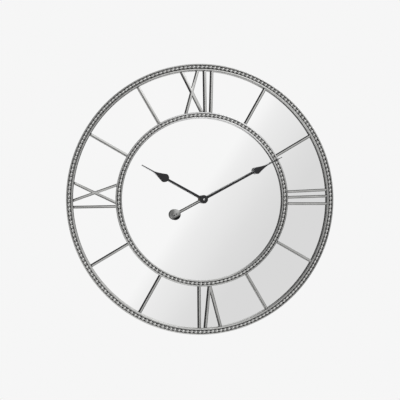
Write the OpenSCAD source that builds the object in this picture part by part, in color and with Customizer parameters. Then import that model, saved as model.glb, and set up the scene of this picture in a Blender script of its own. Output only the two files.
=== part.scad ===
// Round mirror wall clock: beaded metal rings, raised Roman numerals, spade hands, quartz movement.
// Millimetres. Pieces are drawn on the dial: x to the right, y up, z from the wall to the viewer.
// upright() then stands the dial up, so the front faces -Y and the wall is the plane y = 0.

/* [Frame] */
// Outside diameter of the frame
frame_d = 800; // [760:5:860]
// Radial width of the front moulding
frame_w = 20; // [19:0.5:24]
// Height of both mouldings above the mirror
moulding_h = 11; // [10:0.5:14]
// Thickness of the skirt behind the moulding
skirt_t = 2; // [1.5:0.25:2.5]
// Radial width of the hem at the rear edge of the skirt
hem_w = 4; // [3:0.5:5]
// Depth of the hem at the rear edge of the skirt
hem_h = 3; // [2:0.5:5]
// Hollow between the wall and the back board
recess_depth = 22; // [21:0.5:28]

/* [Mirror and board] */
// Thickness of the back board
board_t = 6; // [5:0.5:9]
// Thickness of the mirror glass
mirror_t = 3; // [3:0.5:5]
// Gap between the board edge and the hem
board_gap = 0.5; // [0.3:0.1:1]

/* [Inner ring] */
// Outside diameter of the inner ring
inner_ring_d = 516; // [480:4:540]
// Radial width of the inner ring
inner_ring_w = 18; // [16.5:0.5:22]

/* [Beads] */
// Diameter of one bead
bead_d = 9; // [7:0.5:9.5]
// Thickness of the strip that carries the beads
bead_strip_t = 0.8; // [0.5:0.1:1.2]
// Edge of the strip left beside each bead
bead_rim = 0.1; // [0.05:0.05:0.3]
// Side gap between bead strip and channel
bead_gap = 0.25; // [0.2:0.05:0.5]
// Depth of the channel that holds the beads
channel_depth = 4.5; // [3.5:0.5:5]
// Number of beads on the outer ring
outer_beads = 196; // [150:1:200]
// Number of beads on the inner ring
inner_beads = 125; // [90:1:128]
// Width of the outer lip beside the outer beads
outer_lip_w = 3.5; // [3:0.25:5]

/* [Numerals] */
// Width of a numeral stroke
bar_w = 8; // [6:0.5:10]
// Height of a numeral stroke above the mirror
bar_h = 9.5; // [6:0.5:9.5]
// Radius of the crown across a stroke
bar_crown = 11; // [9:0.5:30]

/* [Board fixings] */
// Number of clips that hold the board
clip_count = 8; // [6:1:12]
// Sheet thickness of the clips
clip_t = 1.2; // [1:0.1:1.6]
// Gap between the clip leg and the skirt
clip_gap = 0.3; // [0.2:0.05:0.5]
// Arc that one clip takes up, in degrees
clip_arc = 3.6; // [3:0.2:6]
// Radial reach of the clip foot over the board
clip_foot = 20; // [16:1:26]
// Length of the clip leg along the skirt
clip_leg = 12; // [8:1:14]
// Edge of the clip foot beyond the screw head
clip_edge = 2; // [1:0.25:3]
// Diameter of the clip screw shank
clip_screw_d = 3; // [2.5:0.5:4]
// Diameter of the clip screw head
clip_head_d = 6.4; // [6:0.2:8]
// Height of a screw head
screw_head_h = 1.8; // [1.4:0.1:2.4]
// Width of a screw slot
screw_slot_w = 0.8; // [0.6:0.1:1.2]
// Depth of a screw slot
screw_slot_h = 0.7; // [0.4:0.1:0.8]
// Depth a screw bites into the board
screw_bite = 4; // [3:0.5:4.5]

/* [Hanger] */
// Distance of the hanger bracket centre below the top of the frame
hanger_drop = 100; // [80:5:200]
// Width of the raised plate
hanger_w = 52; // [44:2:70]
// Height of the raised plate
hanger_h = 34; // [30:2:50]
// Sheet thickness of the hanger
hanger_t = 1.5; // [1.2:0.1:2]
// Gap between the raised plate and the wall
hanger_gap = 2; // [1:0.5:4]
// Reach of a foot beside the plate
hanger_foot = 16; // [14:1:24]
// Diameter of the hole that takes the screw head
keyhole_d = 10; // [9:0.5:11]
// Edge of the plate below the hole
keyhole_edge = 6; // [4:0.5:8]
// Width of the slot that the screw hangs in
keyslot_w = 5.2; // [4:0.2:6]
// Rise of the slot above the hole
keyslot_rise = 11; // [9:0.5:12]

/* [Hands] */
// Angle of the minute hand, clockwise from twelve
minute_at = 62.4; // [0:0.1:360]
// Angle of the hour hand, clockwise from twelve
hour_at = 299.2; // [0:0.1:360]
// Length of the minute hand from the axis
minute_len = 269; // [240:1:285]
// Length of the hour hand from the axis
hour_len = 208; // [190:1:225]
// Sheet thickness of a hand
hand_t = 1.2; // [1:0.1:1.6]
// Width of a hand stem at the boss
stem_root_w = 7; // [5:0.5:9]
// Width of a hand stem at the spade
stem_tip_w = 5.5; // [4:0.25:7]
// Radius of the hand bosses
boss_r = 12.5; // [10:0.5:15]
// Distance of the minute spade from the axis
minute_spade_at = 183; // [160:1:195]
// Radius of the minute spade
minute_spade_r = 10.5; // [7:0.5:12]
// Length of the minute spade from its widest point to the needle
minute_spade_l = 36; // [28:1:44]
// Distance of the hour spade from the axis
hour_spade_at = 131; // [118:1:142]
// Radius of the hour spade
hour_spade_r = 12.5; // [9:0.5:14]
// Length of the hour spade from its widest point to the needle
hour_spade_l = 37; // [28:1:44]
// Width of the needle where it leaves the spade
needle_root_w = 3; // [2:0.25:4]
// Width of the needle at its tip
needle_tip_w = 2; // [0.8:0.1:2]
// Gap between the minute hand and the beads it passes over
hand_clear = 5; // [2:0.5:8]
// Gap between the two hands
hand_gap = 1; // [0.6:0.1:2]
// Distance of the counterweight disc from the axis
weight_at = 96; // [80:1:110]
// Radius of the counterweight disc
weight_r = 16; // [9:0.5:18]
// Rise of the dome on the counterweight disc
weight_dome = 3; // [1:0.2:4]
// Width of the counterweight bar
weight_bar_w = 6.5; // [5:0.5:8]
// Rise of the crown along the counterweight bar
weight_crown = 1.4; // [0.8:0.1:2]
// Gap between that crown and the minute boss
crown_gap = 0.4; // [0.3:0.1:1]
// Thickness of the counterweight bar
weight_t = 1.2; // [1:0.1:2]
// Spacing of the two rivets on the counterweight
rivet_pitch = 7.4; // [6:0.2:9]
// Radius of a rivet head
rivet_r = 1.7; // [1.4:0.1:2]
// Radius of a rivet shank
rivet_shank_r = 1; // [0.8:0.05:1.2]
// Depth that a rivet head is let into the dome
rivet_sink = 0.4; // [0.3:0.1:0.6]
// Height of a rivet head above the dome
rivet_proud = 0.3; // [0.2:0.1:0.6]
// Thickness of the flange on each hand bush
bush_flange_t = 1.2; // [0.8:0.1:2]
// Radius of the flange on each hand bush
bush_flange_r = 6; // [5:0.5:8]
// Wall of the sleeve on each hand bush
bush_wall = 1.2; // [0.8:0.1:2]
// Radius of the cap nut
cap_r = 3.4; // [3:0.1:5]
// Step from the arbor down to the thread for the cap nut
thread_step = 0.3; // [0.2:0.05:0.4]
// Height of the straight part of the cap nut
cap_h = 2; // [1.5:0.1:3]

/* [Neck] */
// Diameter of the threaded neck
neck_d = 8; // [7.6:0.2:9]
// Gap between the neck and the hole in board and mirror
neck_gap = 0.5; // [0.3:0.1:1]
// Thickness of the rubber gasket
gasket_t = 1; // [0.5:0.1:1.5]
// Radius of the rubber gasket
gasket_r = 10; // [8:0.5:14]
// Thickness of the neck washer
washer_t = 0.8; // [0.5:0.1:1.5]
// Radius of the neck washer
washer_r = 9; // [7.5:0.5:11]
// Height of the neck nut
nut_h = 3; // [2:0.25:4]
// Length of the neck that shows above its nut
neck_proud = 0.6; // [0.4:0.1:0.8]
// Width of the neck nut across its flats
nut_af = 12; // [11:0.5:15]

/* [Movement case] */
// Depth of the movement case
case_depth = 16; // [15.9:0.1:17]
// Wall of the movement case
case_wall = 1.5; // [1.2:0.1:2]
// Thickness of the front plate
case_plate = 2; // [1.8:0.1:2.2]
// Thickness of the rear cover
cover_t = 1.5; // [1.3:0.1:2]
// Room for the wheels above the centre
wheel_room_up = 20.5; // [19.5:0.5:24]
// Room for the wheels below the centre
wheel_room_down = 16; // [15.9:0.1:18]

/* [Battery] */
// Diameter of the battery
battery_d = 14.2; // [13.6:0.1:14.4]
// Length of the battery with its button
battery_l = 50.5; // [50:0.1:52]
// Diameter of the battery button
button_d = 5.5; // [4.5:0.1:6]
// Height of the battery button
button_h = 1; // [0.8:0.1:1.5]
// Side gap around the battery
battery_gap = 0.4; // [0.3:0.1:0.6]
// Sheet thickness of the contacts
contact_t = 0.4; // [0.3:0.05:0.6]
// Room for the leaf of the negative contact
leaf_room = 3; // [2.5:0.1:4]
// Width of a contact
contact_w = 9; // [6:0.5:11]

/* [Wheels] */
// Radius of the minute arbor
arbor_r = 1.5; // [1.3:0.05:1.7]
// Radial running clearance of arbors and pipes
run_gap = 0.05; // [0.04:0.01:0.08]
// Wall of the hour pipe
pipe_wall = 1.05; // [0.9:0.05:1.1]
// Radius of the thin arbors
thin_r = 0.8; // [0.75:0.05:1]
// Radius of the pivots
pivot_r = 0.5; // [0.4:0.05:0.6]
// Length of a pivot in its hole
pivot_l = 0.8; // [0.6:0.1:0.9]
// Thickness of a wheel
wheel_t = 1; // [0.8:0.1:1.1]
// Radius of the arbor that carries the setting knob
setting_r = 1.2; // [1:0.05:1.4]
// Radius of the setting knob
knob_r = 7; // [5:0.5:8]
// Thickness of the setting knob
knob_t = 3; // [2:0.25:3.3]
// Gap between the setting knob and the cover
knob_gap = 0.4; // [0.3:0.05:0.6]
// Radius of a flute in the setting knob
flute_r = 0.8; // [0.6:0.1:1]
// Number of flutes around the setting knob
knob_flutes = 18; // [12:1:24]
// Radius of the rotor magnet
magnet_r = 2.6; // [2:0.1:2.8]
// Length of the rotor magnet
magnet_l = 3; // [2:0.1:3.4]
// Radius of the coil
coil_r = 2.9; // [2.2:0.1:3]
// Thickness of the stator plate
stator_t = 1; // [0.8:0.1:1.1]

/* [Hidden] */
$fn = 96;

// Radii of the two rings, their channels and the disc stack.
frame_r = frame_d / 2;
frame_in_r = frame_r - frame_w;
skirt_in_r = frame_r - skirt_t;
hem_in_r = frame_r - hem_w;
disc_r = hem_in_r - board_gap;
ring_r = inner_ring_d / 2;
ring_in_r = ring_r - inner_ring_w;
channel_w = bead_d + 2 * bead_gap;
outer_row_r = frame_r - outer_lip_w - channel_w / 2;
inner_row_r = ring_r - inner_ring_w / 2;

// Heights above the wall.
board_back = recess_depth;
board_front = board_back + board_t;
mirror_front = board_front + mirror_t;
crest = mirror_front + moulding_h;
channel_floor = crest - channel_depth;
bead_sink = bead_strip_t / 2;
bead_r = bead_d / 2 - bead_rim;
bead_top = channel_floor + bead_sink + bead_r;
case_front = board_back - gasket_t;
plate_in = case_front - case_plate;
case_rear = case_front - case_depth;
cover_in = case_rear + cover_t;
knob_front = case_rear - knob_gap;
neck_top = mirror_front + washer_t + nut_h + neck_proud;
minute_z = max(bead_top, crest) + hand_clear;
weight_z = minute_z - weight_t;
minute_flange_z = weight_z - bush_flange_t;
hour_z = minute_flange_z - hand_gap - hand_t;
hour_flange_z = hour_z - bush_flange_t;
rivet_z = minute_z + weight_dome;
arbor_top = minute_z + hand_t;
thread_top = arbor_top + cap_h;

// Pipes, sleeves and screws.
pipe_bore_r = arbor_r + run_gap;
pipe_r = pipe_bore_r + pipe_wall;
neck_bore_r = pipe_r + run_gap;
neck_r = neck_d / 2;
neck_hole_r = neck_r + neck_gap;
thread_r = arbor_r - thread_step;
hour_sleeve_r = pipe_r + bush_wall;
minute_sleeve_r = arbor_r + bush_wall;
clip_r = skirt_in_r - clip_gap;
clip_screw_r = clip_r - clip_foot + clip_head_d / 2 + clip_edge;
hanger_up = frame_r - hanger_drop;
hanger_screw_x = hanger_w / 2 + hanger_foot / 2;
hanger_screw_y = hanger_h / 4;
plate_z = hanger_gap;

// Wheel work: teeth, modules and the places of the arbors on the dial plane.
wheel_add = 0.45;
pinion_add = 0.9;
tooth_room = 0.2;
tooth_share = 0.42;
pressure = 20;
m_time = 0.3;
m_fast = 0.25;
m_cannon = 0.48;
m_hour = 0.6;
z_center = 64;
z_third = 60;
z_second = 60;
z_mid = 48;
z_leaf = 8;
z_mid_pinion = 12;
z_cannon = 10;
z_reverser = 40;
z_hour = 30;
third_dir = 60;
second_dir = 0;
mid_dir = -60;
rotor_dir = -90;
reverser_dir = 180;
third_at = along([0, 0], (z_center + z_leaf) * m_time / 2, third_dir);
second_at = along(third_at, (z_third + z_leaf) * m_time / 2, second_dir);
mid_at = along(second_at, (z_second + z_mid_pinion) * m_fast / 2, mid_dir);
rotor_at = along(mid_at, (z_mid + z_leaf) * m_fast / 2, rotor_dir);
reverser_at = along([0, 0], (z_cannon + z_reverser) * m_cannon / 2, reverser_dir);

// Layers of the wheel work, measured back from the inside of the front plate.
hour_layer_gap = 0.5;
reverser_layer_gap = 0.6;
center_layer_gap = 0.8;
train_layer_gap = 1.2;
magnet_layer_gap = 1.1;
hour_wheel_z = plate_in - hour_layer_gap - wheel_t;
reverser_z = hour_wheel_z - reverser_layer_gap - wheel_t;
center_z = reverser_z - center_layer_gap - wheel_t;
third_z = center_z - train_layer_gap - wheel_t;
second_z = third_z - train_layer_gap - wheel_t;
magnet_z = center_z - magnet_layer_gap - magnet_l;
stator_z = magnet_z + magnet_l / 2 - stator_t / 2;
mesh_over = 0.2;
pivot_gap = 0.1;
center_stub_r = 1;

// Inside of the case: wheel room above, battery bay below.
case_in_x = (battery_l + contact_t + leaf_room) / 2;
case_x = case_in_x + case_wall;
bay_top = -wheel_room_down - case_wall;
bay_h = battery_d + 2 * battery_gap;
bay_bottom = bay_top - bay_h;
case_top = wheel_room_up + case_wall;
case_bottom = bay_bottom - case_wall;
battery_y = bay_top - bay_h / 2;
bay_plate = 1;
battery_z = case_front - bay_plate - battery_d / 2;
leaf_half = 5;
leaf_drop = 2;
leaf_fold = 1;
coil_gap = 0.4;
core_y = -wheel_room_down + coil_r + coil_gap;
core_w = 2;
yoke_w = 3.2;
pole_w = 10;
arm_w = 5;
rotor_gap = 0.5;
stator_left = reverser_at[0] - 2;
stator_right = rotor_at[0] + pole_w / 2;
post_r = 1.2;
pcb_gap = 0.5;
pcb_x = -case_in_x + pcb_gap;
pcb_w = 11.5;
pcb_y = 3.5;
pcb_l = 16;
pcb_t = 1;
chip_r = 2.6;
chip_h = 0.9;
chip_y = pcb_y + 4.5;
crystal_l = 7;
crystal_w = 3.5;
crystal_h = 2;
crystal_y = pcb_y + 9.5;

// Strokes of each numeral: how far the inner and the outer end lie beside the hour line.
stroke_run = 25;
twelve_strokes = [[-2, -63], [-48, -14], [8, 7], [25, 29]];
three_strokes = [[-21, -26], [-4, -7], [15, 16]];
six_strokes = [[-19, -50], [-17, -4], [14, 14]];
nine_strokes = [[-8, 51], [42, -1], [-19, -20]];
baton_strokes = [[0, 0]];

metal = [0.66, 0.66, 0.66];
dark_metal = [0.2, 0.2, 0.21];
black = [0.1, 0.1, 0.1];
brass = [0.75, 0.6, 0.3];
white = [0.9, 0.9, 0.88];

function along(from, dist, dir) = from + dist * [cos(dir), sin(dir)];
function arc_radius(chord, rise) = (chord * chord / 4 + rise * rise) / (2 * rise);
function inv(a) = tan(a) * 180 / PI - a;
function roll(rb, r) = r <= rb ? 0 : inv(acos(rb / r));

// One tooth as points on the left flank and then the right, its middle on the x axis.
function flank(z, rp, r) = tooth_share * 180 / z + inv(pressure) - roll(rp * cos(pressure), r);
function flank_radii(rp, rr, rt) =
    let (rb = rp * cos(pressure)) [rr, rr < rb ? rb : (rr + rp) / 2, rp, rt];
function tooth(z, rp, radii) = concat(
    [for (r = radii) [r, -flank(z, rp, r)]],
    [for (i = [len(radii) - 1:-1:0]) [radii[i], flank(z, rp, radii[i])]]);

// Half width of a spade, a share s of the way from its widest point to the needle.
function spade_half(r, s) = needle_root_w / 2 + (r - needle_root_w / 2) * pow(1 - s, 1.35);

module upright() {
    rotate([90, 0, 0]) children();
}

module disc(r, z0, z1) {
    translate([0, 0, z0]) cylinder(r = r, h = z1 - z0);
}

module pipe(r_out, r_in, z0, z1) {
    difference() {
        disc(r_out, z0, z1);
        disc(r_in, z0 - 1, z1 + 1);
    }
}

module block(x0, x1, y0, y1, z0, z1) {
    translate([x0, y0, z0]) cube([x1 - x0, y1 - y0, z1 - z0]);
}

module gear(z, m, add, ded, z0, t, turn) {
    rp = z * m / 2;
    teeth = tooth(z, rp, flank_radii(rp, rp - ded * m, rp + add * m));
    translate([0, 0, z0])
        linear_extrude(t)
            polygon([for (i = [0:z - 1]) for (p = teeth)
                p[0] * [cos(turn + i * 360 / z + p[1]), sin(turn + i * 360 / z + p[1])]]);
}

// A wheel that shows a tooth to its mate, and a pinion that shows a gap.
module wheel(z, m, z0, t, mate_dir) {
    gear(z, m, wheel_add, pinion_add + tooth_room, z0, t, mate_dir);
}

module pinion(z, m, z0, t, mate_dir) {
    gear(z, m, pinion_add, wheel_add + tooth_room, z0, t, mate_dir + 180 / z);
}

// A thin arbor from plate to cover with a pivot at each end.
module arbor() {
    disc(thin_r, cover_in + pivot_gap, plate_in - pivot_gap);
    disc(pivot_r, cover_in - pivot_l, plate_in + pivot_l);
}

module pivot_holes(z0, z1) {
    for (p = [third_at, second_at, mid_at, rotor_at])
        translate(p) disc(pivot_r + run_gap, z0, z1);
}

// Half round lips on both sides of a channel for the beads.
module moulding_profile(r_in, r_out, row_r) {
    lip_in = row_r - channel_w / 2 - r_in;
    lip_out = r_out - row_r - channel_w / 2;
    translate([r_in, mirror_front]) square([r_out - r_in, channel_floor - mirror_front]);
    lip(r_in, lip_in);
    lip(r_out - lip_out, lip_out);
}

module lip(r, w) {
    translate([r, mirror_front]) square([w, crest - w / 2 - mirror_front]);
    translate([r + w / 2, crest - w / 2]) circle(d = w);
}

module bead_row(row_r, count) {
    pipe(row_r + bead_d / 2, row_r - bead_d / 2, channel_floor, channel_floor + bead_strip_t);
    for (i = [0:count - 1])
        rotate(i * 360 / count)
            translate([row_r, 0, channel_floor + bead_sink]) rotate(90)
                intersection() {
                    sphere(bead_r);
                    block(-bead_d, bead_d, -bead_d, bead_d, 0, bead_d);
                }
}

// A stroke runs from the inner ring to the frame. Its ends lie t_in and t_out beside the hour line.
module stroke(t_in, t_out) {
    reach = frame_in_r - ring_r;
    lean = atan2(t_out - t_in, reach);
    span = norm([t_out - t_in, reach]) + 2 * stroke_run;
    translate([t_in, ring_r, mirror_front])
        rotate(-lean)
            translate([0, span - stroke_run, 0])
                rotate([90, 0, 0])
                    linear_extrude(span) bar_profile();
}

module bar_profile() {
    intersection() {
        translate([-bar_w / 2, 0]) square([bar_w, bar_h]);
        translate([0, bar_h - bar_crown]) circle(bar_crown);
    }
}

module hour_mark(hour, strokes) {
    color(metal) upright() rotate(-30 * hour)
        intersection() {
            union() {
                for (s = strokes) stroke(s[0], s[1]);
            }
            pipe(frame_in_r, ring_r, mirror_front - 1, mirror_front + bar_h + 1);
        }
}

module outer_frame() {
    color(metal) upright() rotate_extrude()
        moulding_profile(frame_in_r, frame_r, outer_row_r);
}

// A rolled band behind the moulding, with a hem that rests on the wall.
module frame_skirt() {
    color(metal) upright() rotate_extrude() {
        translate([skirt_in_r, 0]) square([skirt_t, mirror_front]);
        translate([hem_in_r, 0]) square([hem_w, hem_h]);
    }
}

module outer_bead_row() {
    color(metal) upright() bead_row(outer_row_r, outer_beads);
}

module inner_ring() {
    color(metal) upright() rotate_extrude()
        moulding_profile(ring_in_r, ring_r, inner_row_r);
}

module inner_bead_row() {
    color(metal) upright() bead_row(inner_row_r, inner_beads);
}

module mirror_glass() {
    color([0.85, 0.87, 0.88]) upright() pipe(disc_r, neck_hole_r, board_front, mirror_front);
}

module at_clips() {
    for (i = [0:clip_count - 1]) rotate((i + 0.5) * 360 / clip_count) children();
}

module at_hanger_screws() {
    for (sx = [-1, 1], sy = [-1, 1])
        translate([sx * hanger_screw_x, hanger_up + sy * hanger_screw_y, 0]) children();
}

module back_board() {
    color([0.45, 0.33, 0.22]) upright() difference() {
        pipe(disc_r, neck_hole_r, board_back, board_front);
        at_clips() translate([clip_screw_r, 0, 0])
            disc(clip_screw_d / 2, board_back - 1, board_back + screw_bite);
        at_hanger_screws() disc(clip_screw_d / 2, board_back - 1, board_back + screw_bite);
    }
}

module board_clips() {
    color(metal) upright() at_clips() difference() {
        rotate(-clip_arc / 2) rotate_extrude(angle = clip_arc) {
            translate([clip_r - clip_foot, board_back - clip_t]) square([clip_foot, clip_t]);
            translate([clip_r - clip_t, board_back - clip_leg]) square([clip_t, clip_leg]);
        }
        translate([clip_screw_r, 0, 0]) disc(clip_screw_d / 2, 0, board_back + 1);
    }
}

module board_screw(seat_z) {
    disc(clip_screw_d / 2, seat_z - screw_head_h / 2, board_back + screw_bite);
    difference() {
        disc(clip_head_d / 2, seat_z - screw_head_h, seat_z);
        block(-clip_head_d, clip_head_d, -screw_slot_w / 2, screw_slot_w / 2,
            seat_z - screw_head_h - 1, seat_z - screw_head_h + screw_slot_h);
    }
}

module clip_screws() {
    color(metal) upright() at_clips() translate([clip_screw_r, 0, 0]) board_screw(board_back - clip_t);
}

// A sheet bent to a hat: two feet on the board, two legs and a raised plate with the keyhole.
module hanger_bracket() {
    half = hanger_w / 2;
    bottom = hanger_up - hanger_h / 2;
    slot_y = bottom + keyhole_edge + keyhole_d / 2;
    color(metal) upright() difference() {
        union() {
            block(-half, half, bottom, bottom + hanger_h, plate_z, plate_z + hanger_t);
            for (s = [-1, 1]) {
                leg_x = s * (half - hanger_t / 2);
                foot_x = s * (half + hanger_foot / 2 - hanger_t / 2);
                translate([leg_x, hanger_up, (plate_z + board_back) / 2])
                    cube([hanger_t, hanger_h, board_back - plate_z], center = true);
                translate([foot_x, hanger_up, board_back - hanger_t / 2])
                    cube([hanger_foot + hanger_t, hanger_h, hanger_t], center = true);
            }
        }
        translate([0, slot_y, 0]) disc(keyhole_d / 2, -1, plate_z + hanger_t + 1);
        translate([0, slot_y + keyslot_rise, 0]) disc(keyslot_w / 2, -1, plate_z + hanger_t + 1);
        block(-keyslot_w / 2, keyslot_w / 2, slot_y, slot_y + keyslot_rise, -1, plate_z + hanger_t + 1);
        at_hanger_screws() disc(clip_screw_d / 2, 0, board_back + 1);
    }
}

module hanger_screws() {
    color(metal) upright() at_hanger_screws() board_screw(board_back - hanger_t);
}

module neck_gasket() {
    color(black) upright() pipe(gasket_r, neck_r, case_front, board_back);
}

module neck_washer() {
    color(brass) upright() pipe(washer_r, neck_r, mirror_front, mirror_front + washer_t);
}

module neck_nut() {
    color(brass) upright() difference() {
        translate([0, 0, mirror_front + washer_t])
            cylinder(d = nut_af / cos(30), h = nut_h, $fn = 6);
        disc(neck_r, mirror_front, neck_top + 1);
    }
}

// A tub open to the rear, with the neck in front and posts inside for the stator.
module movement_case() {
    color(black) upright() difference() {
        union() {
            difference() {
                block(-case_x, case_x, case_bottom, case_top, case_rear, case_front);
                block(-case_in_x, case_in_x, -wheel_room_down, wheel_room_up, case_rear - 1, plate_in);
                block(-case_in_x, case_in_x, bay_bottom, bay_top, case_rear - 1, case_front - bay_plate);
                block(-case_x - 1, case_x + 1, bay_top, case_top + 1, case_rear - 1, cover_in);
            }
            disc(neck_r, plate_in, neck_top);
            stator_posts();
        }
        disc(neck_bore_r, plate_in - 1, neck_top + 1);
        pivot_holes(plate_in - 1, plate_in + pivot_l + pivot_gap);
        translate(reverser_at) disc(pivot_r + run_gap, plate_in - 1, plate_in + pivot_l + pivot_gap);
    }
}

module stator_posts() {
    for (x = [stator_left + yoke_w / 2, stator_right - yoke_w / 2])
        translate([x, core_y, 0]) disc(post_r, stator_z + stator_t, plate_in + case_plate / 4);
}

module movement_cover() {
    color(black) upright() difference() {
        block(-case_x, case_x, bay_top, case_top, case_rear, cover_in);
        translate(reverser_at) disc(setting_r + run_gap, case_rear - 1, cover_in + 1);
        pivot_holes(cover_in - pivot_l - pivot_gap, cover_in + 1);
        disc(pivot_r + run_gap, cover_in - pivot_l - pivot_gap, cover_in + 1);
    }
}

module center_wheel() {
    color(brass) upright() {
        disc(pivot_r, cover_in - pivot_l, center_z);
        disc(center_stub_r, cover_in + pivot_gap, center_z + wheel_t);
        disc(arbor_r, center_z, arbor_top);
        disc(thread_r, center_z, thread_top);
        wheel(z_center, m_time, center_z, wheel_t, third_dir);
        pinion(z_cannon, m_cannon, reverser_z - mesh_over, wheel_t + 2 * mesh_over, reverser_dir + 180);
    }
}

module hour_wheel() {
    color(white) upright() difference() {
        union() {
            wheel(z_hour, m_hour, hour_wheel_z, wheel_t, reverser_dir);
            disc(pipe_r, hour_wheel_z, hour_z + hand_t);
        }
        disc(pipe_bore_r, hour_wheel_z - 1, hour_z + hand_t + 1);
    }
}

module reverser_wheel() {
    color(white) upright() translate(reverser_at) {
        disc(pivot_r, reverser_z, plate_in + pivot_l);
        disc(setting_r, knob_front - knob_t / 2, hour_wheel_z + wheel_t);
        wheel(z_reverser, m_cannon, reverser_z, wheel_t, reverser_dir + 180);
        pinion(z_cannon, m_hour, reverser_z, hour_wheel_z + wheel_t + mesh_over - reverser_z, reverser_dir);
    }
}

module set_knob() {
    color(black) upright() translate(reverser_at) difference() {
        disc(knob_r, knob_front - knob_t, knob_front);
        disc(setting_r, knob_front - knob_t / 2, case_rear);
        for (i = [0:knob_flutes - 1])
            rotate(i * 360 / knob_flutes)
                translate([knob_r + flute_r / 2, 0, 0]) disc(flute_r, knob_front - 2 * knob_t, case_rear);
    }
}

module third_wheel() {
    color(white) upright() translate(third_at) {
        arbor();
        pinion(z_leaf, m_time, center_z - mesh_over, wheel_t + 2 * mesh_over, third_dir + 180);
        wheel(z_third, m_time, third_z, wheel_t, second_dir);
    }
}

module second_wheel() {
    color(white) upright() translate(second_at) {
        arbor();
        pinion(z_leaf, m_time, third_z - mesh_over, wheel_t + 2 * mesh_over, second_dir + 180);
        wheel(z_second, m_fast, second_z, wheel_t, mid_dir);
    }
}

module intermediate_wheel() {
    color(white) upright() translate(mid_at) {
        arbor();
        pinion(z_mid_pinion, m_fast, second_z - mesh_over, wheel_t + 2 * mesh_over, mid_dir + 180);
        wheel(z_mid, m_fast, center_z, wheel_t, rotor_dir);
    }
}

module rotor() {
    color(dark_metal) upright() translate(rotor_at) {
        arbor();
        pinion(z_leaf, m_fast, center_z - mesh_over, wheel_t + 2 * mesh_over, rotor_dir + 180);
        disc(magnet_r, magnet_z, magnet_z + magnet_l);
    }
}

// A flat iron loop: the core runs through the coil, the right end surrounds the rotor.
module stator() {
    top = rotor_at[1] + magnet_r + rotor_gap;
    bottom = core_y - yoke_w / 2;
    color(metal) upright() difference() {
        union() {
            block(stator_left, stator_right, core_y - core_w / 2, core_y + core_w / 2,
                stator_z, stator_z + stator_t);
            block(stator_left, stator_left + yoke_w, bottom, top, stator_z, stator_z + stator_t);
            block(stator_left, stator_right, top - arm_w, top, stator_z, stator_z + stator_t);
            block(stator_right - pole_w, stator_right, bottom, top + 1, stator_z, stator_z + stator_t);
        }
        translate(rotor_at) disc(magnet_r + rotor_gap, stator_z - 1, stator_z + stator_t + 1);
    }
}

module coil() {
    x0 = stator_left + yoke_w + coil_gap;
    x1 = stator_right - pole_w - coil_gap;
    color([0.6, 0.32, 0.16]) upright() difference() {
        translate([x0, core_y, stator_z + stator_t / 2]) rotate([0, 90, 0])
            cylinder(r = coil_r, h = x1 - x0);
        block(x0 - 1, x1 + 1, core_y - core_w / 2, core_y + core_w / 2, stator_z, stator_z + stator_t);
    }
}

module circuit_board() {
    color([0.15, 0.35, 0.2]) upright() {
        block(pcb_x, pcb_x + pcb_w, pcb_y, pcb_y + pcb_l, cover_in, cover_in + pcb_t);
        translate([pcb_x + pcb_w / 2, chip_y, 0]) disc(chip_r, cover_in, cover_in + pcb_t + chip_h);
    }
}

module crystal() {
    x0 = pcb_x + (pcb_w - crystal_l) / 2;
    z0 = cover_in + pcb_t;
    color(metal) upright()
        block(x0, x0 + crystal_l, crystal_y, crystal_y + crystal_w, z0, z0 + crystal_h);
}

module battery() {
    color([0.25, 0.25, 0.27]) upright()
        translate([case_in_x - contact_t, battery_y, battery_z]) rotate([0, -90, 0]) {
            cylinder(d = button_d, h = battery_l);
            translate([0, 0, button_h]) cylinder(d = battery_d, h = battery_l - button_h);
        }
}

module contact_positive() {
    color(metal) upright()
        block(case_in_x - contact_t, case_in_x, battery_y - contact_w / 2, battery_y + contact_w / 2,
            battery_z - contact_w / 2, battery_z + contact_w / 2);
}

// A leaf folded back on itself, pressed by the flat end of the battery.
module contact_negative() {
    tip = [-case_in_x + leaf_room, battery_z - leaf_drop];
    back = -case_in_x + contact_t;
    color(metal) upright()
        translate([0, battery_y + contact_w / 2, 0]) rotate([90, 0, 0]) linear_extrude(contact_w)
            polygon([[-case_in_x, battery_z - leaf_half], [back, battery_z - leaf_half],
                [back, battery_z + leaf_half - 2 * leaf_fold], [tip[0] - contact_t, tip[1]], tip,
                tip + [0, leaf_fold], [back, battery_z + leaf_half], [-case_in_x, battery_z + leaf_half]]);
}

// A hand along +x: boss, stem, round based spade with hollow flanks, needle.
module hand_outline(length, spade_at, spade_r, spade_l) {
    steps = 10;
    ends = spade_at + spade_l;
    circle(boss_r);
    polygon([[0, -stem_root_w / 2], [spade_at, -stem_tip_w / 2],
        [spade_at, stem_tip_w / 2], [0, stem_root_w / 2]]);
    translate([spade_at, 0]) circle(spade_r);
    polygon(concat(
        [for (i = [0:steps]) [spade_at + spade_l * i / steps, -spade_half(spade_r, i / steps)]],
        [[length, -needle_tip_w / 2], [length, needle_tip_w / 2]],
        [for (i = [steps:-1:0]) [spade_at + spade_l * i / steps, spade_half(spade_r, i / steps)]]));
}

module hour_hand() {
    color(dark_metal) upright() rotate(90 - hour_at)
        translate([0, 0, hour_z]) linear_extrude(hand_t) difference() {
            hand_outline(hour_len, hour_spade_at, hour_spade_r, hour_spade_l);
            circle(hour_sleeve_r);
        }
}

module minute_hand() {
    color(dark_metal) upright() rotate(90 - minute_at)
        translate([0, 0, minute_z]) linear_extrude(hand_t) difference() {
            hand_outline(minute_len, minute_spade_at, minute_spade_r, minute_spade_l);
            circle(minute_sleeve_r);
        }
}

module hour_bush() {
    color(brass) upright() difference() {
        union() {
            disc(bush_flange_r, hour_flange_z, hour_z);
            disc(hour_sleeve_r, hour_flange_z, hour_z + hand_t);
        }
        disc(pipe_r, hour_flange_z - 1, hour_z + hand_t + 1);
    }
}

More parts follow.
